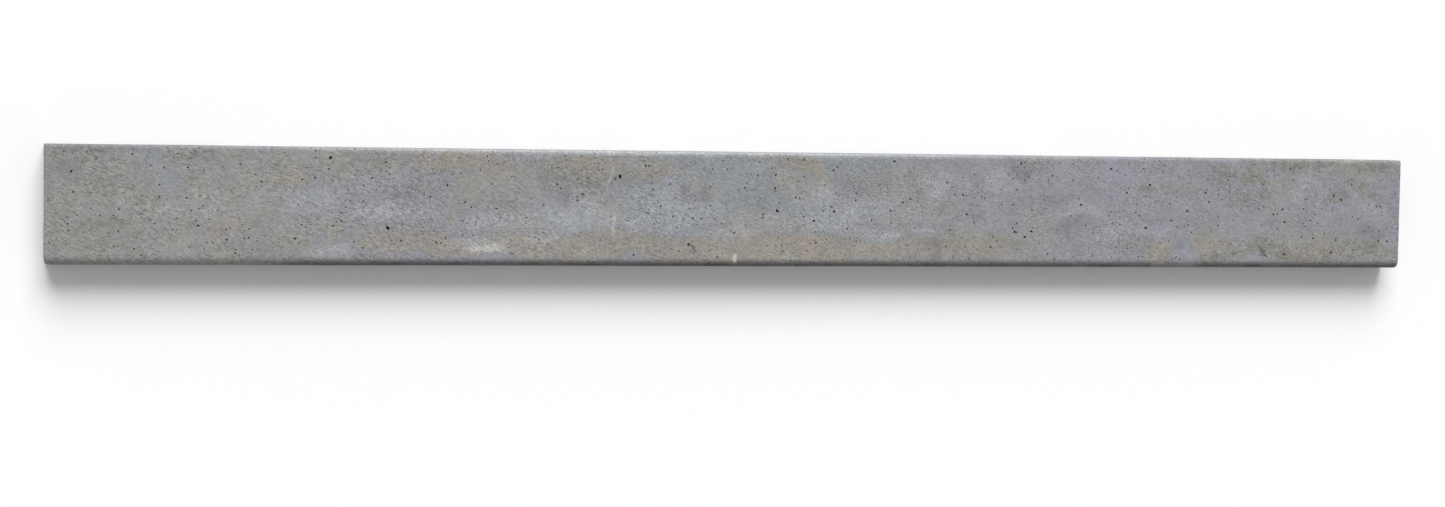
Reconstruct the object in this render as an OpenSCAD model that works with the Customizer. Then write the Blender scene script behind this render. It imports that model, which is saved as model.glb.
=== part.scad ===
// Plain concrete gravel board: one wet-cast piece that stands between the ground and a fence
// panel, with its ends held in the grooves of two slotted posts.
// It was cast on edge: fillets in the floor of the mould rounded the two arrises of its ground
// edge, and a trowel eased the two arrises of its open upper edge.
// Here it lies on its back. Its face looks up, +Y is the upper edge that carries the fence
// panel, and the origin is under the middle of the board.

/* [Board] */
// Length, which fills one bay between two slotted posts
board_length = 1830; // [900:10:2440]
// Height of the face when the board stands in its fence
board_height = 150; // [120:5:305]
// Thickness, which slides into the groove of a post
board_thickness = 50; // [38:1:75]

/* [Arrises] */
// Radius of the two arrises along the ground edge
mould_arris = 12; // [4:0.5:16]
// Radius of the two arrises along the upper edge
trowel_arris = 4; // [3:0.5:6]
// Radius of the arrises round both ends
end_arris = 1; // [0.5:0.25:1.25]

/* [Hidden] */
concrete_grey = "#929393";
// How far a cut reaches past the surface that it opens
cut_overrun = 1;
quarter_turn = 90;
$fn = 96;

// What a rounded arris takes off a square corner, with the corner at the origin and the
// concrete on its lower left
module arris_waste(radius) {
    translate([-radius, -radius])
    difference() {
        square(radius + cut_overrun);
        circle(radius);
    }
}

// Corners of the section, as seen from the right-hand end: [across, up, turn, radius], where
// turn takes the waste of an upper right corner to this one
function section_corners() = [
    [board_height / 2, board_thickness, 0, trowel_arris],
    [-board_height / 2, board_thickness, quarter_turn, mould_arris],
    [-board_height / 2, 0, 2 * quarter_turn, mould_arris],
    [board_height / 2, 0, 3 * quarter_turn, trowel_arris]
];

// Cross-section of the board, with its four long arrises rounded
module section() {
    difference() {
        translate([-board_height / 2, 0])
        square([board_height, board_thickness]);
        for (corner = section_corners())
            translate([corner[0], corner[1]])
            rotate(corner[2])
            arris_waste(corner[3]);
    }
}

// Sets a shape drawn in the plane of the section on the right-hand end of the board
module on_right_end() {
    translate([board_length / 2, 0, 0])
    rotate([quarter_turn, 0, quarter_turn])
    children();
}

// Waste of the end arris round one rounded corner of the section
module end_waste_at_corner(corner) {
    long_arris = corner[3];
    translate([corner[0], corner[1], 0])
    rotate(corner[2])
    translate([-long_arris, -long_arris, 0])
    rotate_extrude(angle = quarter_turn)
    translate([long_arris, 0])
    arris_waste(end_arris);
}

// Waste of the end arris along one straight side of the section, from one corner to the next
module end_waste_along_side(corner, next_corner) {
    run = norm([next_corner[0] - corner[0], next_corner[1] - corner[1]]);
    translate([corner[0], corner[1], 0])
    rotate(corner[2])
    translate([-corner[3], 0, 0])
    rotate([0, -quarter_turn, 0])
    linear_extrude(run - corner[3] - next_corner[3])
    arris_waste(end_arris);
}

// All that the end arris takes off the right-hand end
module right_end_waste() {
    corners = section_corners();
    on_right_end()
    for (i = [0 : len(corners) - 1]) {
        end_waste_at_corner(corners[i]);
        end_waste_along_side(corners[i], corners[(i + 1) % len(corners)]);
    }
}

module gravel_board() {
    color(concrete_grey)
    difference() {
        translate([-board_length, 0, 0])
        on_right_end()
        linear_extrude(board_length)
        section();
        right_end_waste();
        mirror([1, 0, 0])
        right_end_waste();
    }
}

gravel_board();
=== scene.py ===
import itertools
import math

import bpy
import numpy as np
from mathutils import Matrix, Vector


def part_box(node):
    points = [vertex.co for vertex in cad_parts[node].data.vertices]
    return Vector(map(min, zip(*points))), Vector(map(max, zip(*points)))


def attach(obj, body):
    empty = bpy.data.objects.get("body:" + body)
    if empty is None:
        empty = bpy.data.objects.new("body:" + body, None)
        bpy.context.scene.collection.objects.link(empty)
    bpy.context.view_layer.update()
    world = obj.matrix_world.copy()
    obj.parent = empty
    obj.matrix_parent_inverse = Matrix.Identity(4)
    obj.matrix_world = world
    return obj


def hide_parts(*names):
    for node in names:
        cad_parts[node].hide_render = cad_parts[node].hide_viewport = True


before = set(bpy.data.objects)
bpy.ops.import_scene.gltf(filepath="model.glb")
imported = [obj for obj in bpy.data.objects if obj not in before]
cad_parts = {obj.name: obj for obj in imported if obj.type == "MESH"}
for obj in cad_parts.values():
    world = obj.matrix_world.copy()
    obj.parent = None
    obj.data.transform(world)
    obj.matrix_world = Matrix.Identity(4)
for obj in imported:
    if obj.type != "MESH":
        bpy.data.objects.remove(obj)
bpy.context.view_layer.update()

# Gravel board: one piece of wet-cast concrete, poured on edge into a steel mould and struck off
# with a trowel along its open upper edge. It has no fixings, and its ends slide into slotted
# posts. Here it lies on its back, with its face up and its upper edge on the +Y side.
MM = 0.001
board_low, board_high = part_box("gravel_board")
board_length, board_height, board_thickness = np.array(board_high - board_low) / MM
half_length = board_length / 2
half_height = board_height / 2

# Radius of the arrises along the ground edge, along the upper edge and round the ends, in mm, and
# how many faces turn through half of each of the first two and through the whole of the last
mould_arris, mould_steps = 12.0, 5
trowel_arris, trowel_steps = 4.0, 3
end_arris, end_steps = 1.0, 3
# Width of a face of the mesh, in mm
pitch = 3.3


def section_loop():
    """Points round the section as (y, z), the way out of the concrete at each, and points per side.

    They run over the face, the ground edge, the back and the upper edge, and each side goes from
    the middle of one arris to the middle of the next. Opposite sides have as many points.
    """
    arrises = [
        (half_height, board_thickness, trowel_arris, trowel_steps),
        (-half_height, board_thickness, mould_arris, mould_steps),
        (-half_height, 0, mould_arris, mould_steps),
        (half_height, 0, trowel_arris, trowel_steps),
    ]
    face_flat = round((board_height - mould_arris - trowel_arris) / pitch)
    ground_flat = round((board_thickness - 2 * mould_arris) / pitch)
    panel_flat = ground_flat + 2 * mould_steps - 2 * trowel_steps
    middle = np.array([0, board_thickness / 2])
    points, ways_out, counts = [], [], []
    for side, flat_steps in enumerate((face_flat, ground_flat, face_flat, panel_flat)):
        turned = side * math.pi / 2
        flat_out = np.array([math.cos(turned + math.pi / 2), math.sin(turned + math.pi / 2)])
        arcs, flat_ends = [], []
        both_arrises = arrises[side], arrises[(side + 1) % len(arrises)]
        for (y, z, radius, steps), start in zip(both_arrises, (math.pi / 4, math.pi / 2)):
            corner = np.array([y, z])
            centre = corner + radius * np.sign(middle - corner)
            angle = turned + start + np.arange(steps) / steps * math.pi / 4
            arc_out = np.column_stack([np.cos(angle), np.sin(angle)])
            arcs.append((centre + radius * arc_out, arc_out))
            flat_ends.append(centre + radius * flat_out)
        begin, end = flat_ends
        share = np.arange(flat_steps)[:, None] / flat_steps
        flat = begin + share * (end - begin), np.repeat(flat_out[None], flat_steps, axis=0)
        for run, run_out in (arcs[0], flat, arcs[1]):
            points.append(run)
            ways_out.append(run_out)
        counts.append(len(arcs[0][0]) + flat_steps + len(arcs[1][0]))
    return np.concatenate(points), np.concatenate(ways_out), counts


def cloud(points, size, seed):
    """A smooth random field from -1 to 1 at some points, with lumps of the given size."""
    slots = 256
    table = np.random.default_rng(seed).permutation(slots)
    level = np.random.default_rng(seed + 1).uniform(-1, 1, slots)
    cell = np.floor(points / size).astype(int)
    share = points / size - cell
    share = share * share * (3 - 2 * share)
    field = np.zeros(points.shape[:-1])
    for corner in itertools.product((0, 1), repeat=3):
        x, y, z = np.moveaxis(cell + corner, -1, 0)
        picked = level[table[(table[(table[x % slots] + y) % slots] + z) % slots]]
        field += picked * np.prod(np.where(corner, share, 1 - share), axis=-1)
    return field


def ease(value, start, end):
    """Goes smoothly from 0 at start to 1 at end."""
    share = np.clip((value - start) / (end - start), 0, 1)
    return share * share * (3 - 2 * share)


# The skin is a tube of rings, each a copy of the section, closed by a grid of faces at each end.
loop, loop_out, side_counts = section_loop()
across, deep = side_counts[:2]
ring_size = len(loop)
length_steps = round((board_length - 2 * end_arris) / pitch)
turn = np.arange(end_steps, 0, -1) / end_steps * math.pi / 2
ring_turn = np.concatenate([-turn, np.zeros(length_steps + 1), turn[::-1]])
ring_x = np.concatenate([
    np.full(end_steps, end_arris - half_length),
    np.linspace(end_arris - half_length, half_length - end_arris, length_steps + 1),
    np.full(end_steps, half_length - end_arris),
])
skin_out = np.empty((len(ring_x), ring_size, 3))
skin_out[..., 0] = np.sin(ring_turn)[:, None]
skin_out[..., 1:] = np.cos(ring_turn)[:, None, None] * loop_out
skin = np.empty_like(skin_out)
skin[..., 0] = ring_x[:, None]
skin[..., 1:] = loop - end_arris * loop_out
skin += end_arris * skin_out

# Relief of the cast skin, in mm, all of it inwards: slow waves of the mould, strokes that slant
# down to the right where the skin dragged on the mould, strongest at the left end, sweeps of the
# trowel along the upper edge, and chips along the arrises. Each has its depth and its size. For
# strokes and sweeps the size is the width, with how fast they change along against across.
wave_depth, wave_size = 0.35, 140
drag_depth, drag_width, drag_along = 0.25, 9, 0.3
sweep_depth, sweep_width, sweep_along = 0.6, 6, 0.08
chip_depth, chip_size = 1.3, 17
# From which x to which the strokes grow, and how far over to the upper edge the trowel reached
drag_grows, trowelled = (0, -600), (0.6, 1)
# Size and share of the teeth in a chip's outline, and how high the field has to be to chip
tooth_size, tooth_share, chip_least = 6, 0.6, 0.55
# How far a face has to turn to lie on an arris, and how deep the chips still are at the ends, within
# how many mm of them. No relief there is deeper than a share of the small arris.
turned_onto_arris, end_chips, end_chips_reach, end_share = 0.25, 0.3, 12, 0.8
skin_x, skin_y, skin_z = np.moveaxis(skin, -1, 0)
along_strokes = np.stack([drag_along * (skin_x - skin_y), skin_x + skin_y, skin_z], -1)
along_sweeps = np.stack([sweep_along * skin_x, skin_y, skin_z], -1)
waves = 0.5 + 0.5 * cloud(skin, wave_size, 11)
strokes = 0.5 + 0.5 * cloud(along_strokes, drag_width, 12)
sweeps = 0.5 + 0.5 * cloud(along_sweeps, sweep_width, 15)
chips = cloud(skin, chip_size, 13) + tooth_share * cloud(skin, tooth_size, 14)
chips = np.clip(chips - chip_least, 0, 1)
chips *= end_chips + (1 - end_chips) * ease(half_length - np.abs(skin_x), end_arris, end_chips_reach)
on_arris = 1 - np.max(np.abs(skin_out), axis=-1)
sink = wave_depth * waves
sink += drag_depth * strokes * ease(skin_x, *drag_grows)
sink += sweep_depth * sweeps * ease(skin_out[..., 1], *trowelled)
sink += chip_depth * chips * ease(on_arris, 0, turned_onto_arris)
round_end = ring_turn != 0
sink[round_end] = np.minimum(sink[round_end], end_share * end_arris)
skin -= sink[..., None] * skin_out

ring_index = np.arange(skin.shape[0] * ring_size).reshape(skin.shape[0], ring_size)
tube = np.concatenate([ring_index, ring_index[:, :1]], axis=1)


def end_grid(ring, first_index):
    """Fills one end of the tube: the new points, and the grid of vertex numbers with its rim."""
    order = np.arange(ring_size)
    rim = np.zeros((deep + 1, across + 1), int)
    rim[0, :] = order[:across + 1]
    rim[:, across] = order[across:across + deep + 1]
    rim[deep, ::-1] = order[across + deep:2 * across + deep + 1]
    rim[::-1, 0] = np.append(order[2 * across + deep:], 0)
    edge = skin[ring][rim]
    u = np.linspace(0, 1, across + 1)[None, :, None]
    v = np.linspace(0, 1, deep + 1)[:, None, None]
    points = (1 - v) * edge[:1] + v * edge[-1:] + (1 - u) * edge[:, :1] + u * edge[:, -1:]
    points -= (1 - v) * ((1 - u) * edge[:1, :1] + u * edge[:1, -1:])
    points -= v * ((1 - u) * edge[-1:, :1] + u * edge[-1:, -1:])
    grid = ring_index[ring][rim]
    inner = np.arange((deep - 1) * (across - 1)).reshape(deep - 1, across - 1)
    grid[1:-1, 1:-1] = first_index + inner
    return points[1:-1, 1:-1].reshape(-1, 3), grid


right_points, right_end = end_grid(-1, ring_index.size)
left_points, left_end = end_grid(0, ring_index.size + len(right_points))
points = np.concatenate([skin.reshape(-1, 3), right_points, left_points])

# The corner of the left-hand end and the ground edge was knocked round in handling: it is pushed in
# along both sides, by so much at the corner itself and less out to some way from it, in mm
knock_depth, knock_reach = 1.3, 8.0
from_corner = np.hypot(points[:, 0] + half_length, points[:, 1] + half_height)
points[:, :2] += knock_depth * ease(from_corner, knock_reach, 0)[:, None]

# Voids that air bubbles left against the mould, as (x, y, width) in mm on the face, for the ones
# that catch the eye. The rest are strewn at random, fewer at the left end.
main_voids = [
    (-880, 40, 2.8), (-825, -5, 2.2), (-805, -54, 2.2), (-742, 48, 2.4), (-728, -24, 2.8),
    (-693, -44, 2.6), (-668, -41, 2.2), (-650, 33, 2.4), (-607, -40, 2.8), (-585, 35, 2.4),
    (-565, 60, 4.0), (-490, -27, 4.6), (-475, -45, 2.4), (-438, 12, 2.4), (-417, 30, 2.6),
    (-393, 5, 2.6), (-352, -2, 2.2), (-273, 50, 2.4), (-240, 18, 2.4), (-193, 42, 4.2),
    (-173, -60, 2.4), (-160, 55, 2.8), (-155, -5, 2.2), (-125, 32, 2.4), (-100, -47, 3.2),
    (-40, -30, 2.4), (-28, 30, 2.2), (0, -8, 2.6), (15, 45, 2.8), (15, 30, 2.8),
    (20, 0, 4.0), (70, -15, 3.4), (73, -45, 2.6), (95, 52, 2.8), (95, 0, 3.2),
    (150, -15, 2.4), (178, 65, 3.0), (175, 0, 2.6), (192, 13, 2.6), (200, 14, 2.8),
    (280, -5, 3.0), (318, -48, 2.6), (350, -27, 3.2), (356, 63, 3.0), (362, -34, 3.2),
    (373, -28, 3.0), (395, -57, 2.6), (443, 10, 3.2), (485, 58, 3.0), (508, 25, 2.8),
    (538, -22, 3.4), (540, 37, 3.2), (573, -10, 2.6), (596, 3, 2.8), (622, 27, 3.0),
    (630, 14, 2.6), (725, 0, 2.6), (740, 4, 2.8), (744, -10, 3.0), (744, -56, 3.2),
    (770, -32, 2.6), (785, -32, 2.6), (812, -54, 2.8), (815, 25, 3.0), (826, 20, 3.0),
    (884, -38, 2.8),
]
# Only the inside of a void is painted dark, as the shade in it, so those are opened by this much wider
# than they look
opened_wider = 1.12
# Width of the strewn voids: the usual one, its spread, and the least and the most, in mm. Then their
# depth over their width, and the share of them kept at the left end, with the x where it grows to 1.
usual_width, width_spread, width_limits = 1.8, 0.22, (1.3, 2.8)
depth_limits = (0.5, 0.9)
left_share, left_grows = 0.35, (-600, -150)
# How many are strewn on the face, the back, the ground edge, the upper edge and each end
face_voids, back_voids, ground_voids, panel_voids, end_voids = 150, 220, 40, 25, 9
# How many faces of the mesh they keep clear of the arrises, and on the ends of the board, clear of
# its face and back and of its two long edges
arris_margin, end_margin, end_side_margin = 2, 4, 8
# How far a void's mouth stays inside its four faces and how far it may lie off their middle, in mm,
# and how much it departs from round, as an oval and at random
mouth_margin, most_shift, oval, jagged = 0.4, 1.2, 0.2, 0.1
# Rings down a void, as shares of its width and its depth, and how dark each is painted, as the shade
# deepens down it
void_rings = ((1, 0, 0), (0.88, 0.5, 0.7), (0.5, 0.9, 1))
void_rng = np.random.default_rng(41)
faces, mouths, void_points, void_shade_levels = [], [], [], []


def lay_faces(grid, sites):
    """Covers a grid of vertices with faces, and opens a void in the four faces round each site.

    A site is (row, column, width, depth), with sizes in mm.
    """
    solid = np.ones((grid.shape[0] - 1, grid.shape[1] - 1), bool)
    around = [(-1, -1), (-1, 0), (-1, 1), (0, 1), (1, 1), (1, 0), (1, -1), (0, -1)]
    angle = np.array([math.atan2(r, c) for r, c in around])
    for row, column, width, depth in sites:
        block = solid[row - 1:row + 1, column - 1:column + 1]
        if not block.all():
            continue
        block[:] = False
        along = points[grid[row, column + 1]] - points[grid[row, column - 1]]
        along = along / np.linalg.norm(along)
        down = points[grid[row + 1, column]] - points[grid[row - 1, column]]
        down = down / np.linalg.norm(down)
        out = np.cross(along, down)
        room = pitch - width / 2 - mouth_margin
        shift = np.zeros(2)
        if room > 0:
            shift = void_rng.uniform(-room, room, 2).clip(-most_shift, most_shift)
        centre = points[grid[row, column]] + shift[0] * along + shift[1] * down
        lean = void_rng.uniform(0, math.pi)
        bulge = oval * np.cos(2 * (angle - lean)) + void_rng.uniform(-jagged, jagged, len(angle))
        reach = width / 2 * (1 + bulge)
        previous = [int(grid[row + r, column + c]) for r, c in around]
        for spread, sunk, dark in void_rings:
            first = len(points) + len(void_points)
            ring = list(range(first, first + len(angle)))
            for a, r in zip(angle, reach * spread):
                sideways = r * (math.cos(a) * along + math.sin(a) * down)
                void_points.append(centre + sideways - sunk * depth * out)
                void_shade_levels.append(dark)
            if sunk == 0:
                mouths.extend(ring)
            for k in range(len(angle)):
                after = (k + 1) % len(angle)
                faces.append((previous[k], previous[after], ring[after], ring[k]))
            previous = ring
        bottom = len(points) + len(void_points)
        void_points.append(centre - depth * out)
        void_shade_levels.append(1)
        for k in range(len(angle)):
            faces.append((previous[k], previous[(k + 1) % len(angle)], bottom))
    rows, columns = np.nonzero(solid)
    quads = np.column_stack([
        grid[rows, columns], grid[rows, columns + 1], grid[rows + 1, columns + 1], grid[rows + 1, columns],
    ])
    faces.extend(map(tuple, quads.tolist()))


def strew(count, rows, columns, thin_left=False):
    """Random void sites within a range of rows and of columns."""
    sites = []
    while len(sites) < count:
        row, column = void_rng.integers(*rows), void_rng.integers(*columns)
        if thin_left:
            kept_share = left_share + (1 - left_share) * ease(ring_x[row], *left_grows)
            if void_rng.random() > kept_share:
                continue
        width = float(np.clip(void_rng.lognormal(math.log(usual_width), width_spread), *width_limits))
        sites.append((row, column, width, width * void_rng.uniform(*depth_limits)))
    return sites


face_start, ground_start, back_start, panel_start = np.cumsum([0] + side_counts[:3])
flat_rows = (end_steps + arris_margin, len(ring_x) - end_steps - arris_margin)
trowel_clear, mould_clear = trowel_steps + arris_margin, mould_steps + arris_margin
face_columns = (face_start + trowel_clear, ground_start - mould_clear)
ground_columns = (ground_start + mould_clear, back_start - mould_clear)
back_columns = (back_start + mould_clear, panel_start - trowel_clear)
panel_columns = (panel_start + trowel_clear, ring_size - trowel_clear)
sites = []
for x, y, width in main_voids:
    row = int(np.argmin(np.abs(ring_x - x)))
    column = int(np.argmin(np.abs(loop[:ground_start, 0] - y)))
    sites.append((row, column, opened_wider * width, width))
sites += strew(face_voids, flat_rows, face_columns, thin_left=True)
sites += strew(back_voids, flat_rows, back_columns)
sites += strew(ground_voids, flat_rows, ground_columns)
sites += strew(panel_voids, flat_rows, panel_columns)
lay_faces(tube, sites)
end_rows = (end_margin, deep - end_margin)
end_columns = (end_side_margin, across - end_side_margin)
for grid in (right_end, left_end[:, ::-1]):
    lay_faces(grid, strew(end_voids, end_rows, end_columns))

points = np.concatenate([points, np.array(void_points)])
painted_void_shade = np.zeros(len(points))
painted_void_shade[-len(void_shade_levels):] = void_shade_levels
on_mouth = np.zeros(len(points), bool)
on_mouth[mouths] = True
used = np.zeros(len(points), bool)
used[list(itertools.chain.from_iterable(faces))] = True
number = np.cumsum(used) - 1
points, painted_void_shade, on_mouth = points[used], painted_void_shade[used], on_mouth[used]
faces = [tuple(number[list(face)].tolist()) for face in faces]

board_mesh = bpy.data.meshes.new("gravel_board_cast")
board_mesh.from_pydata((points * MM).tolist(), [], faces)
board_mesh.shade_smooth()
edge_ends = np.empty(2 * len(board_mesh.edges), int)
board_mesh.edges.foreach_get("vertices", edge_ends)
sharp = board_mesh.attributes.new("sharp_edge", "BOOLEAN", "EDGE")
sharp.data.foreach_set("value", on_mouth[edge_ends.reshape(-1, 2)].all(axis=1))

# Stains on the face, each as patches (x, y, half length, half height, strength) in mm. Olive is old
# damp, sand tan is iron from the mould and the ground, bloom is lime that came out as the concrete
# dried, moss is a film of green in the pores, and grime is soot and dust. The back takes them
# turned round. Dense is no stain: there the skin set smooth, with little sand showing.
stain_patches = {
    "olive": [
        (-860, -10, 110, 100, 0.85), (-700, -20, 110, 90, 0.85), (-700, 50, 80, 28, 0.7),
        (-895, 50, 30, 30, 0.8), (-640, -15, 30, 26, 1.0), (-590, -25, 60, 12, 0.9),
        (-600, 50, 30, 24, 1.0), (-540, 54, 90, 20, 0.9), (-560, -40, 120, 16, 0.8),
        (-385, 32, 40, 22, 0.9), (-400, 2, 20, 25, 0.7), (-210, 46, 80, 24, 0.9),
        (-90, 18, 26, 18, 0.7), (-200, -5, 26, 26, 0.9), (-10, -20, 70, 16, 0.85),
        (58, 40, 44, 28, 1.2), (150, 50, 50, 20, 0.4), (250, 8, 14, 8, 0.7),
        (300, -46, 75, 22, 0.85), (590, 40, 30, 14, 0.7), (560, -46, 40, 20, 1.0),
        (624, -40, 50, 22, 1.0), (730, 50, 50, 26, 0.75), (845, 58, 70, 16, 0.7),
        (680, -52, 50, 14, 0.8), (800, -48, 110, 24, 1.0), (765, -30, 45, 14, 0.7),
        (745, 5, 50, 34, 0.65), (-650, -30, 30, 40, 0.7), (-708, 0, 30, 26, 0.6),
    ],
    "tan": [
        (-470, -48, 100, 15, 0.6), (-395, -54, 60, 13, 0.8), (-290, -50, 80, 18, 0.7),
        (-200, -50, 105, 20, 0.8), (-115, -52, 70, 20, 1.0), (-20, -52, 100, 20, 1.1),
        (70, -51, 110, 19, 1.05), (205, -54, 80, 14, 0.9), (310, -54, 70, 15, 0.7),
        (555, -50, 26, 18, 0.55), (622, -44, 46, 17, 0.6), (790, -52, 70, 13, 0.5),
        (-888, 48, 24, 16, 0.7), (-603, 31, 28, 9, 0.8), (-430, 62, 38, 10, 1.0),
        (-390, 55, 48, 14, 0.9), (-355, 42, 40, 9, 0.6), (-225, 57, 42, 11, 0.6),
        (-140, 44, 32, 13, 0.8), (62, 58, 38, 13, 0.8), (88, 40, 20, 16, 0.5),
        (-690, -30, 30, 16, 0.4), (735, 78, 60, 7, 0.5),
    ],
    "bloom": [
        (-255, -10, 60, 20, 1.0), (-215, -20, 30, 10, 0.8), (-115, 2, 50, 26, 0.8),
        (-345, -14, 60, 18, 0.7), (-578, -53, 30, 8, 0.7), (90, -10, 60, 16, 1.0),
        (160, 5, 60, 14, 0.5), (-362, -50, 34, 9, 1.1), (885, 8, 30, 12, 0.6),
        (680, -20, 40, 14, 0.4), (-590, 5, 60, 16, 0.5), (-710, -5, 40, 22, 0.6),
        (-640, -5, 20, 14, 0.4), (-500, -14, 70, 12, 0.7), (-485, 40, 20, 18, 0.6),
        (-150, -24, 30, 12, 1.0), (10, -18, 50, 12, 0.8), (85, 22, 26, 20, 0.8),
        (170, -26, 70, 9, 0.7), (225, 32, 26, 18, 0.8), (440, -2, 40, 16, 0.6),
        (765, 42, 30, 22, 0.6), (550, -20, 60, 8, 0.5), (-790, -12, 50, 16, 0.4),
        (45, -66, 22, 7, 0.7), (45, 12, 16, 18, 0.8), (-290, -40, 22, 10, 0.7),
        (-40, -30, 34, 12, 0.7), (495, -32, 26, 12, 0.7), (338, 48, 26, 18, 0.8),
    ],
    "moss": [
        (655, 57, 24, 18, 1.0), (672, 24, 36, 12, 0.5), (687, 47, 6, 24, 0.9),
        (765, 75, 80, 13, 1.0), (880, 67, 34, 12, 0.9), (829, 17, 12, 12, 0.95),
        (704, -50, 26, 12, 0.9), (780, -58, 130, 9, 0.6), (880, -44, 34, 14, 0.7),
        (640, -60, 40, 8, 0.6), (541, 38, 14, 8, 0.8), (-225, 36, 50, 10, 0.5),
        (190, 38, 36, 18, 0.2), (-850, -28, 40, 12, 0.5), (-740, 60, 22, 10, 0.5),
        (858, 34, 26, 12, 0.7), (770, -42, 26, 9, 0.7),
    ],
    "grime": [
        (-890, 44, 26, 20, 0.8), (-465, 25, 36, 12, 0.4), (-282, 22, 30, 28, 0.8),
        (-92, 18, 13, 15, 0.9), (366, 58, 18, 12, 0.8), (390, 18, 30, 12, 0.6),
        (430, -22, 30, 14, 0.9), (515, -46, 26, 12, 0.4), (600, -5, 40, 16, 0.4),
        (20, 66, 50, 7, 0.3), (-500, 12, 24, 10, 0.7), (345, -50, 24, 16, 0.8),
        (218, -56, 20, 17, 1.0), (140, 36, 40, 18, 0.6), (-820, 28, 30, 14, 0.4),
        (310, -2, 14, 12, 0.7), (716, -14, 18, 10, 0.9), (874, -20, 24, 12, 0.9),
        (672, 24, 34, 12, 0.5), (-175, 34, 20, 14, 0.6), (245, 10, 16, 14, 0.6),
        # The last three darken the upper arris at the left-hand end, where it catches the light: painted
        # shade
        (-850, 74, 90, 7, 0.9), (-600, 74, 24, 6, 0.7), (-470, 74, 50, 6, 0.6),
    ],
    "dense": [
        (-670, 30, 60, 40, 0.7), (-620, -50, 60, 18, 0.6), (690, -16, 55, 20, 1.0),
        (855, -4, 50, 16, 1.0), (450, -5, 60, 25, 0.4), (590, -30, 24, 40, 0.6),
        (-850, 0, 120, 100, 0.25), (-680, 0, 110, 100, 0.55), (-460, 0, 130, 100, 0.14),
    ],
}
x, y, z = points.T
# A strip of the lower part of the face stayed clean, from x to x and up to y. Above it the face is
# cleaner too, by a share, and so is the right-hand end, down to end_foot. The fades are in mm, and
# stains are fainter by clean_share where the face is cleanest.
clean_from, clean_to, clean_fade = 574, 608, 2
clean_top, clean_top_fade, clean_above = -30, 6, 0.3
end_from, end_fade, end_foot, end_foot_fade = half_length - 18, 4, -48, 7
clean_share = 0.85
strip = ease(x, clean_from - clean_fade, clean_from + clean_fade)
strip *= ease(x, clean_to + clean_fade, clean_to - clean_fade)
strip *= clean_above + (1 - clean_above) * ease(y, clean_top + clean_top_fade, clean_top)
clean_end = ease(x, end_from - end_fade, end_from + end_fade)
clean_end *= ease(y, end_foot - end_foot_fade, end_foot + end_foot_fade)
kept_clean = np.maximum(strip, clean_end)
# A patch is drawn from points that wander, so its outline is a ragged one: over how many mm they go
# to and fro, and how far along and across
slow_size, slow_along, slow_across = 55, 24, 9
quick_size, quick_along, quick_across = 18, 9, 5
stain_x = x + slow_along * cloud(points, slow_size, 21) + quick_along * cloud(points, quick_size, 22)
stain_y = y + slow_across * cloud(points, slow_size, 23) + quick_across * cloud(points, quick_size, 24)
# Between these shares of the thickness the stains of the face give way to those of the back
over = ease(z / board_thickness, 0.35, 0.65)
# A tide line bounds the tan and the moss, and the others fade out further. A fade goes from one share
# of a patch's half length and half height to another.
crisp_stains, crisp_fade, slow_fade = ("tan", "moss"), (0.5, 1.3), (0.2, 1.6)
paint = {"painted_void_shade": painted_void_shade}
for stain, patches in stain_patches.items():
    fade = crisp_fade if stain in crisp_stains else slow_fade
    front, rear = np.zeros(len(points)), np.zeros(len(points))
    for patch_x, patch_y, half_x, half_y, strength in patches:
        for field, turned in ((front, 1), (rear, -1)):
            away = np.hypot((turned * stain_x - patch_x) / half_x, (stain_y - patch_y) / half_y)
            np.maximum(field, strength * (1 - ease(away, *fade)), out=field)
    paint[stain] = over * front * (1 - clean_share * kept_clean) + (1 - over) * rear
# Where the strokes of the drag show: everywhere, and more in two steps towards the left
drag_least = 0.45
drag_middle, middle_grows = 0.2, (150, -200)
drag_left, left_drag_grows = 0.3, (-300, -450)
paint["drag"] = drag_least + drag_middle * ease(x, *middle_grows) + drag_left * ease(x, *left_drag_grows)
# Where the cement is lilac rather than blue: right of the middle, less so further on, and in one
# stretch on the left
lilac_grows, lilac_wanes, lilac_loss = (150, 380), (540, 660), 0.6
lilac_left_grows, lilac_left_ends = (-620, -500), (-340, -440)
lilac_right = ease(x, *lilac_grows) * (1 - lilac_loss * ease(x, *lilac_wanes))
lilac_left = ease(x, *lilac_left_grows) * ease(x, *lilac_left_ends)
paint["lilac"] = np.maximum(lilac_right, lilac_left)
# Painted shade on the arris of the ground edge, which turns away from the light: less below it, none at
# the left-hand end, and little in one stretch that is left lighter
damp_across, damp_up, damp_below = (-64, -half_height), (board_thickness - 14, board_thickness - 4), 0.2
damp_starts, lighter_starts, lighter_ends, lighter_share = (-660, -590), (540, 555), (620, 605), 0.8
paint["damp"] = ease(y, *damp_across) * (damp_below + (1 - damp_below) * ease(z, *damp_up))
paint["damp"] *= ease(x, *damp_starts) * (1 - lighter_share * ease(x, *lighter_starts) * ease(x, *lighter_ends))
# Where the upper arris is worn pale, with a painted highlight where it catches the light: a little all
# along and at the right-hand end, most from left of the middle to a bit right of it, in patches, and less
# with the distance from the arris
rubbed_least, rubbed_most, rubbed_right = 0.1, 0.9, 0.2
rubbed_grows, rubbed_wanes, right_grows = (-740, -400), (60, 560), (780, 810)
rim_patch_size, rim_patch_mean, rim_patch_spread, rubbed_fade = 30, 0.8, 0.35, (0.5, 8)
rubbed = rubbed_least + rubbed_most * ease(x, *rubbed_grows) * (1 - ease(x, *rubbed_wanes))
rubbed += rubbed_right * ease(x, *right_grows)
rubbed *= rim_patch_mean + rim_patch_spread * cloud(points, rim_patch_size, 25)
from_upper_arris = np.hypot(half_height - y, board_thickness - z)
paint["rubbed"] = (1 - ease(from_upper_arris, *rubbed_fade)) * rubbed
for name, values in paint.items():
    layer = board_mesh.attributes.new(name, "FLOAT", "POINT")
    layer.data.foreach_set("value", values.astype(np.float32))

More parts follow.
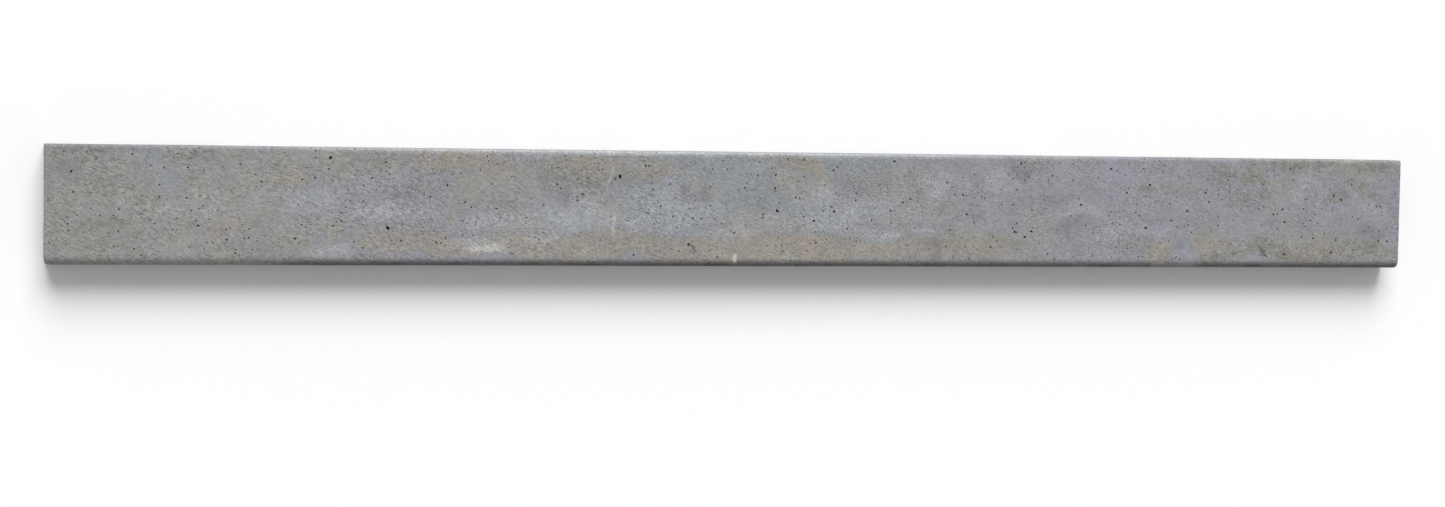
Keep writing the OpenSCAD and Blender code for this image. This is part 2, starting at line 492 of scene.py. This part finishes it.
board = bpy.data.objects.new("gravel_board_cast", board_mesh)
bpy.context.scene.collection.objects.link(board)


def linear(hex_colour):
    """An sRGB hex colour as linear red, green, blue and alpha."""
    channels = [int(hex_colour[k:k + 2], 16) / 255 for k in (1, 3, 5)]
    return (*(c / 12.92 if c <= 0.04045 else ((c + 0.055) / 1.055) ** 2.4 for c in channels), 1)


def add(tree, kind, feeds=None, **settings):
    """Adds one node with its settings, and feeds its inputs, by name or number, a value or a link."""
    node = tree.nodes.new(kind)
    for name, value in settings.items():
        setattr(node, name, value)
    for key, feed in (feeds or {}).items():
        if isinstance(feed, bpy.types.NodeSocket):
            tree.links.new(feed, node.inputs[key])
        else:
            node.inputs[key].default_value = feed
    return node


# Wet-cast concrete off a steel mould: a dull grey cement skin, clouded cool and warm, with sand
# showing through as fine speckle, slanting drag strokes, and pinholes between the larger voids.
# In a Mix node, inputs 6 and 7 are the two colours, and output 2 is the mixed one.
concrete = bpy.data.materials.new("wet_cast_concrete_off_steel_mould")
concrete.use_nodes = True
tree = concrete.node_tree
tree.nodes.clear()
place = add(tree, "ShaderNodeTexCoord").outputs["Object"]
# The strokes lean by so many degrees and are longer than wide. They are bent by so many mm over so
# many, because dead straight ones would look like a hatch.
stroke_lean, stroke_length, bend_size, bend_by = -27, 2.8, 70, 9
bend = add(tree, "ShaderNodeTexNoise", {
    "Vector": place, "Scale": 1 / (bend_size * MM), "Detail": 1,
}, normalize=False).outputs["Color"]
bent = add(tree, "ShaderNodeVectorMath", {
    0: bend, 1: (bend_by * MM, bend_by * MM, 0), 2: place,
}, operation="MULTIPLY_ADD").outputs[0]
along_drag = add(tree, "ShaderNodeMapping", {
    "Vector": bent, "Rotation": (0, 0, math.radians(stroke_lean)), "Scale": (stroke_length, 1, 1),
}, vector_type="TEXTURE").outputs[0]
# Size in mm, detail and roughness of each pattern. Most real sand, strokes and grain are under 1 mm
# wide, too fine to show, so these are drawn a few times as coarse.
patterns = {
    "drift": (place, 120, 4, 0.6),
    "patch": (place, 60, 2, 0.5),
    "mottle": (place, 36, 6, 0.66),
    "sand": (place, 8, 3, 0.6),
    "stroke": (along_drag, 2.6, 3, 0.65),
    "grain": (place, 2.2, 2, 0.7),
}
pattern = {
    name: add(tree, "ShaderNodeTexNoise", {
        "Vector": where, "Scale": 1 / (size * MM), "Detail": detail, "Roughness": roughness,
    }).outputs[0]
    for name, (where, size, detail, roughness) in patterns.items()
}
painted = {
    name: add(tree, "ShaderNodeAttribute", attribute_name=name).outputs["Fac"] for name in paint
}
# The bare cement, cool and warm
warm = add(tree, "ShaderNodeMapRange", {
    "Value": pattern["drift"], "From Min": 0.35, "From Max": 0.7,
}, interpolation_type="SMOOTHSTEP").outputs[0]
blue_cement, lilac_cement, warm_cement = "#8D9095", "#909098", "#909192"
cool = add(tree, "ShaderNodeMix", {
    0: painted["lilac"], 6: linear(blue_cement), 7: linear(lilac_cement),
}, data_type="RGBA").outputs[2]
colour = add(tree, "ShaderNodeMix", {
    0: warm, 6: cool, 7: linear(warm_cement),
}, data_type="RGBA").outputs[2]
# Coats over the bare cement, from the first to the last, each a mask and a colour
coats = []
# Colour of each stain, how coarse its tatters are, in mm, how torn they are, and how thick it lies
stain_looks = {
    "olive": ("#918F8A", 30, 0.7, 0.9),
    "tan": ("#979086", 20, 0.6, 0.85),
    "bloom": ("#AEB0B4", 5, 1.3, 0.5),
    "grime": ("#7A7B7E", 18, 0.9, 0.75),
    "moss": ("#7C7A70", 7, 1.8, 0.7),
}
# Strength of a painted stain at which it lies at its thickest
stain_full = 1.1
for stain, (stain_hex, tatter, torn, thickest) in stain_looks.items():
    edge = add(tree, "ShaderNodeTexNoise", {
        "Vector": place, "Scale": 1 / (tatter * MM), "Detail": 6, "Roughness": 0.7,
    }, normalize=False).outputs[0]
    ragged = add(tree, "ShaderNodeMath", {
        0: edge, 1: torn, 2: 1.0,
    }, operation="MULTIPLY_ADD").outputs[0]
    ragged = add(tree, "ShaderNodeMath", {0: ragged, 1: painted[stain]}, operation="MULTIPLY").outputs[0]
    mask = add(tree, "ShaderNodeMapRange", {
        "Value": ragged, "From Min": 0.0, "From Max": stain_full, "To Max": thickest,
    }, interpolation_type="SMOOTHSTEP").outputs[0]
    coats.append((mask, stain_hex))
# Single marks on the face: a splash, a dab and two runs of lime, and two gouges full of dirt, as
# (x, y, half length, half width, lean in degrees, thickness, colour). Their outlines waver by so
# many mm over so many, and fade from one share of their half sizes to another.
marks = [
    (-364, -52, 25, 5, 0, 0.6, "#C2BFB8"), (-37, -65, 6, 2.6, 90, 0.85, "#D6D2CA"),
    (-199, -20, 15, 1.1, 90, 0.5, "#C2BFB8"), (-203, 46, 14, 1.1, 72, 0.5, "#C2BFB8"),
    (711, -52, 13, 2.2, -45, 0.8, "#5E5D55"), (-94, -50, 7, 1.8, -35, 0.7, "#55544F"),
]
waver_size, waver_by, mark_edge, mark_full = 9, 3, 1.5, 0.5
waver = add(tree, "ShaderNodeTexNoise", {
    "Vector": place, "Scale": 1 / (waver_size * MM),
}, normalize=False).outputs["Color"]
wavering = add(tree, "ShaderNodeVectorMath", {
    0: waver, 1: (waver_by * MM, waver_by * MM, 0), 2: place,
}, operation="MULTIPLY_ADD").outputs[0]
for mark_x, mark_y, half_long, half_wide, lean, thickest, mark_hex in marks:
    off = add(tree, "ShaderNodeMapping", {
        "Vector": wavering,
        "Location": (mark_x * MM, mark_y * MM, board_thickness * MM),
        "Rotation": (0, 0, math.radians(lean)),
        "Scale": (half_long * MM, half_wide * MM, mould_arris * MM),
    }, vector_type="TEXTURE").outputs[0]
    away = add(tree, "ShaderNodeVectorMath", {0: off}, operation="LENGTH").outputs["Value"]
    mask = add(tree, "ShaderNodeMapRange", {
        "Value": away, "From Min": mark_edge, "From Max": mark_full, "To Max": thickest,
    }, interpolation_type="SMOOTHSTEP").outputs[0]
    coats.append((mask, mark_hex))
# The upper arris, worn pale and with a painted highlight, and the painted shade on the ground-edge arris,
# which lies in patches
coats.append((painted["rubbed"], "#BABCBE"))
damp_strength = 1.5
damp = add(tree, "ShaderNodeMath", {
    0: painted["damp"], 1: pattern["mottle"],
}, operation="MULTIPLY").outputs[0]
damp = add(tree, "ShaderNodeMath", {
    0: damp, 1: damp_strength,
}, operation="MULTIPLY", use_clamp=True).outputs[0]
coats.append((damp, "#43382A"))
for mask, coat_hex in coats:
    colour = add(tree, "ShaderNodeMix", {
        0: mask, 6: colour, 7: linear(coat_hex),
    }, data_type="RGBA").outputs[2]

# Light and dark of the skin. The strokes and the grain lie in patches, and fade where it is dense.
patch_least, patch_most, dense_loss = 0.72, 1.38, 0.6
stroke_share, fine_strength = 1.2, 1.16
rough = add(tree, "ShaderNodeMapRange", {
    "Value": pattern["patch"], "From Min": 0.35, "From Max": 0.65,
    "To Min": patch_least, "To Max": patch_most,
}).outputs[0]
open_skin = add(tree, "ShaderNodeMath", {
    0: painted["dense"], 1: -dense_loss, 2: 1.0,
}, operation="MULTIPLY_ADD").outputs[0]
rough = add(tree, "ShaderNodeMath", {0: rough, 1: open_skin}, operation="MULTIPLY").outputs[0]
stroke = add(tree, "ShaderNodeMath", {0: pattern["stroke"], 1: 0.5}, operation="SUBTRACT").outputs[0]
stroke = add(tree, "ShaderNodeMath", {0: stroke, 1: painted["drag"]}, operation="MULTIPLY").outputs[0]
grain = add(tree, "ShaderNodeMath", {0: pattern["grain"], 1: 0.5}, operation="SUBTRACT").outputs[0]
fine = add(tree, "ShaderNodeMath", {
    0: stroke, 1: stroke_share, 2: grain,
}, operation="MULTIPLY_ADD").outputs[0]
for strength in (rough, fine_strength):
    fine = add(tree, "ShaderNodeMath", {0: fine, 1: strength}, operation="MULTIPLY").outputs[0]
# How much the two coarser patterns move the tone, from their lowest to their highest
tone_shares = {"mottle": 0.6, "sand": 0.35}
tone = add(tree, "ShaderNodeMath", {0: fine, 1: 1 - sum(tone_shares.values()) / 2}).outputs[0]
for name, share in tone_shares.items():
    tone = add(tree, "ShaderNodeMath", {
        0: pattern[name], 1: share, 2: tone,
    }, operation="MULTIPLY_ADD").outputs[0]
colour = add(tree, "ShaderNodeHueSaturation", {"Value": tone, "Color": colour}).outputs[0]

# Pinholes, about one in each second cell, up to a quarter of a cell in radius, with outlines that are
# uneven by so many mm over so many. Each is a dark disc with a dip in the bump, painted shade for the
# hollow. Most real ones are under 1 mm wide, too fine to show, so these are drawn up to about three
# times as wide.
pinhole_cell, uneven_size, uneven_by = 5.5, 2, 0.5
chosen_from, pinhole_least, pinhole_most = 0.5, 0.001, 0.25
pinhole_edge, pinhole_full = 1.15, 0.45
uneven = add(tree, "ShaderNodeTexNoise", {
    "Vector": place, "Scale": 1 / (uneven_size * MM), "Detail": 1,
}, normalize=False).outputs["Color"]
uneven = add(tree, "ShaderNodeVectorMath", {
    0: uneven, 1: (uneven_by * MM, uneven_by * MM, uneven_by * MM), 2: place,
}, operation="MULTIPLY_ADD").outputs[0]
pinhole_cells = add(tree, "ShaderNodeTexVoronoi", {"Vector": uneven, "Scale": 1 / (pinhole_cell * MM)})
chosen = add(tree, "ShaderNodeSeparateColor", {"Color": pinhole_cells.outputs["Color"]}).outputs[0]
pinhole_size = add(tree, "ShaderNodeMapRange", {
    "Value": chosen, "From Min": chosen_from, "From Max": 1.0,
    "To Min": pinhole_least, "To Max": pinhole_most,
}).outputs[0]
off = add(tree, "ShaderNodeMath", {
    0: pinhole_cells.outputs["Distance"], 1: pinhole_size,
}, operation="DIVIDE").outputs[0]
pinhole = add(tree, "ShaderNodeMapRange", {
    "Value": off, "From Min": pinhole_edge, "From Max": pinhole_full,
}, interpolation_type="SMOOTHSTEP").outputs[0]
# Painted shade in the hollows: the voids darken down their rings, and each pinhole is a near-black disc
# for the shade inside it
for painted_hole_shade, hole_shade_hex in ((painted["painted_void_shade"], "#2F2D2A"), (pinhole, "#201E1C")):
    colour = add(tree, "ShaderNodeMix", {
        0: painted_hole_shade, 6: colour, 7: linear(hole_shade_hex),
    }, data_type="RGBA").outputs[2]

# Height of the fine relief, in mm, and how dull the skin is, a little more in some places
fine_rise, sand_rise, pinhole_rise = 0.6, 0.5, -0.7
dull_least, dull_most = 0.78, 0.95
relief = add(tree, "ShaderNodeMath", {0: fine, 1: fine_rise}, operation="MULTIPLY").outputs[0]
for height, rise in ((pattern["sand"], sand_rise), (pinhole, pinhole_rise)):
    relief = add(tree, "ShaderNodeMath", {
        0: height, 1: rise, 2: relief,
    }, operation="MULTIPLY_ADD").outputs[0]
rough_skin = add(tree, "ShaderNodeBump", {"Height": relief, "Distance": MM}).outputs[0]
dullness = add(tree, "ShaderNodeMapRange", {
    "Value": pattern["mottle"], "From Min": 0.3, "From Max": 0.7,
    "To Min": dull_least, "To Max": dull_most,
}).outputs[0]
surface = add(tree, "ShaderNodeBsdfPrincipled", {
    "Base Color": colour, "Roughness": dullness, "Normal": rough_skin,
    "IOR": 1.5, "Specular IOR Level": 0.3,
})
add(tree, "ShaderNodeOutputMaterial", {"Surface": surface.outputs[0]})
board_mesh.materials.append(concrete)
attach(board, "root")
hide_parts("gravel_board")

# Floor: a plain pale studio floor, matt white to the eye. It throws back less light than it shows,
# so that the ground edge keeps its own shade.
floor_reach = 30.0
floor_mesh = bpy.data.meshes.new("studio_floor")
floor_mesh.from_pydata(
    [(-floor_reach, -floor_reach, 0), (floor_reach, -floor_reach, 0),
     (floor_reach, floor_reach, 0), (-floor_reach, floor_reach, 0)], [], [(0, 1, 2, 3)])
floor = bpy.data.objects.new("studio_floor", floor_mesh)
bpy.context.scene.collection.objects.link(floor)


def seen_directly(tree):
    """1 where the camera, a gloss or glass looks at the surface, and 0 where it only lights others."""
    path = add(tree, "ShaderNodeLightPath").outputs
    seen = path["Is Camera Ray"]
    for ray in ("Is Glossy Ray", "Is Transmission Ray"):
        seen = add(tree, "ShaderNodeMath", {0: seen, 1: path[ray]}, operation="MAXIMUM").outputs[0]
    return seen


# Matt white floor paint: even and without gloss, so that it shows nothing but the shadow
floor_paint = bpy.data.materials.new("matt_white_floor_paint")
floor_paint.use_nodes = True
tree = floor_paint.node_tree
tree.nodes.clear()
floor_colour = add(tree, "ShaderNodeMix", {
    0: seen_directly(tree), 6: linear("#D0D0D0"), 7: linear("#FFFFFF"),
}, data_type="RGBA").outputs[2]
matt = add(tree, "ShaderNodeBsdfDiffuse", {"Color": floor_colour})
add(tree, "ShaderNodeOutputMaterial", {"Surface": matt.outputs[0]})
floor_mesh.materials.append(floor_paint)

# Light: a wide soft source above and behind the upper edge, which lights that arris and leaves
# the ground-edge arris in shade, and a dim even surround, which the eye sees as white. Together
# they light the face at about 1.
key_share = 0.62
key_height, key_width = math.radians(40), math.radians(40)
key = bpy.data.lights.new("soft_key", "SUN")
key.angle = key_width
key.energy = key_share * math.pi / math.sin(key_height)
key_lamp = bpy.data.objects.new("soft_key", key)
key_lamp.rotation_euler = (key_height - math.pi / 2, 0, 0)
bpy.context.scene.collection.objects.link(key_lamp)

surround = bpy.data.worlds.new("pale_surround")
bpy.context.scene.world = surround
surround.use_nodes = True
tree = surround.node_tree
tree.nodes.clear()
dim = add(tree, "ShaderNodeBackground", {"Color": linear("#FFFFFF"), "Strength": 1 - key_share})
white = add(tree, "ShaderNodeBackground", {"Color": linear("#FFFFFF"), "Strength": 1.0})
both = add(tree, "ShaderNodeMixShader", {0: seen_directly(tree), 1: dim.outputs[0], 2: white.outputs[0]})
add(tree, "ShaderNodeOutputWorld", {"Surface": both.outputs[0]})

# Camera: a 70 mm lens held over the left-hand end and turned towards the right-hand one, as the
# corners and the marks on the face place it, in metres. The sensor's width is the picture's width.
camera_place = Vector((-0.956, 0.135, 3.598))
camera_aim = Vector((-0.054, -0.0575, board_high.z))
camera_roll = math.radians(0.95)
lens = bpy.data.cameras.new("camera")
lens.sensor_fit = "HORIZONTAL"
lens.sensor_width = 36
lens.lens = 70
camera = bpy.data.objects.new("camera", lens)
back = (camera_place - camera_aim).normalized()
right = Vector((0, 1, 0)).cross(back).normalized()
facing = Matrix((right, back.cross(right), back)).transposed() @ Matrix.Rotation(camera_roll, 3, "Z")
camera.matrix_world = Matrix.LocRotScale(camera_place, facing, None)
bpy.context.scene.collection.objects.link(camera)
bpy.context.scene.camera = camera
bpy.context.scene.view_settings.view_transform = "Standard"
